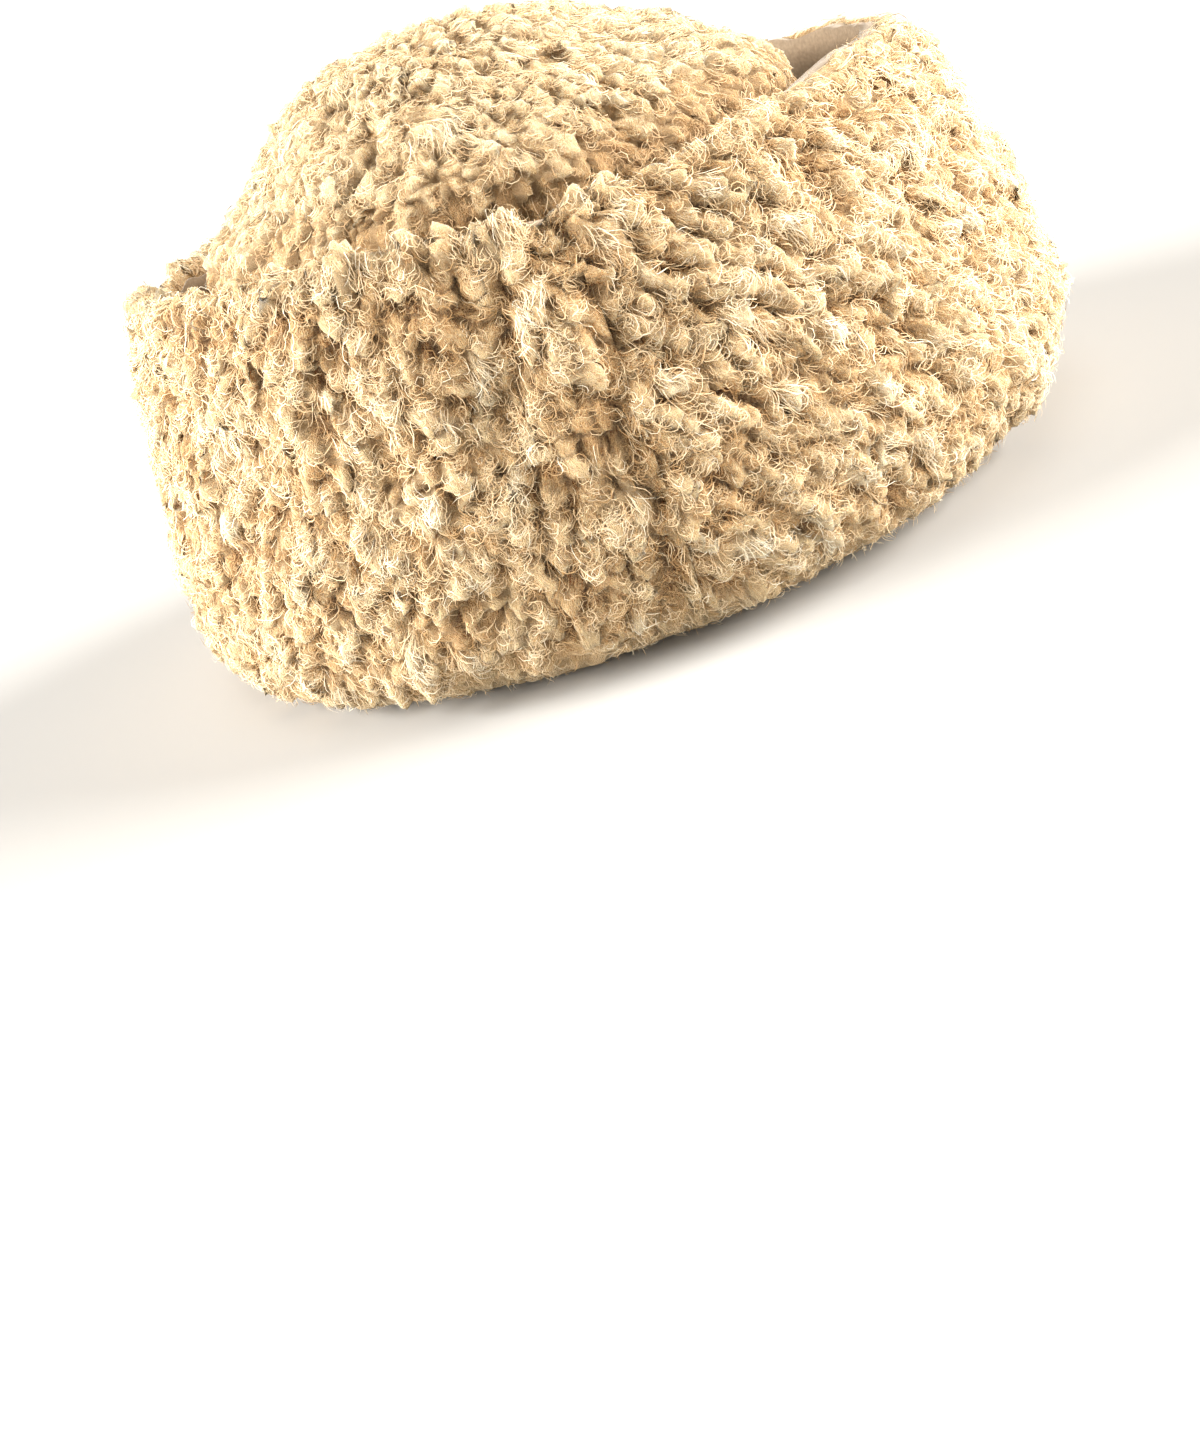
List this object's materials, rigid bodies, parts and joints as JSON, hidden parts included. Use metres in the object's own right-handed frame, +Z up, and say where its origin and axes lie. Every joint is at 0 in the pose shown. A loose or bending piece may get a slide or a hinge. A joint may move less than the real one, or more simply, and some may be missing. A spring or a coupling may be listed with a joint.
{
  "type": "pile hat with turned-up cuff",
  "caption": "Warm hat of curly cream pile cloth: a dome crown with a wide thick cuff turned up round it, its inner face in smooth taupe cloth.",
  "frame": {"origin": "middle of the hat's outline, on the plane that its lower edge rests on", "axes": "+Z up, the front of the hat towards -Y, the wearer's right side towards -X"},
  "size_m": [0.2478, 0.2894, 0.1597],
  "materials": {
    "crown_pile": "curly cream pile, a little darker and shorter than the cuff's",
    "cuff_pile": "deep curly cream pile in tufts 6 to 8 mm wide",
    "facing_cloth": "smooth short-napped taupe cloth"
  },
  "bodies": {
    "root": {"crown": "crown_pile", "cuff_front": "cuff_pile", "cuff_back": "cuff_pile", "cuff_facing": "facing_cloth"}
  },
  "joints": []
}
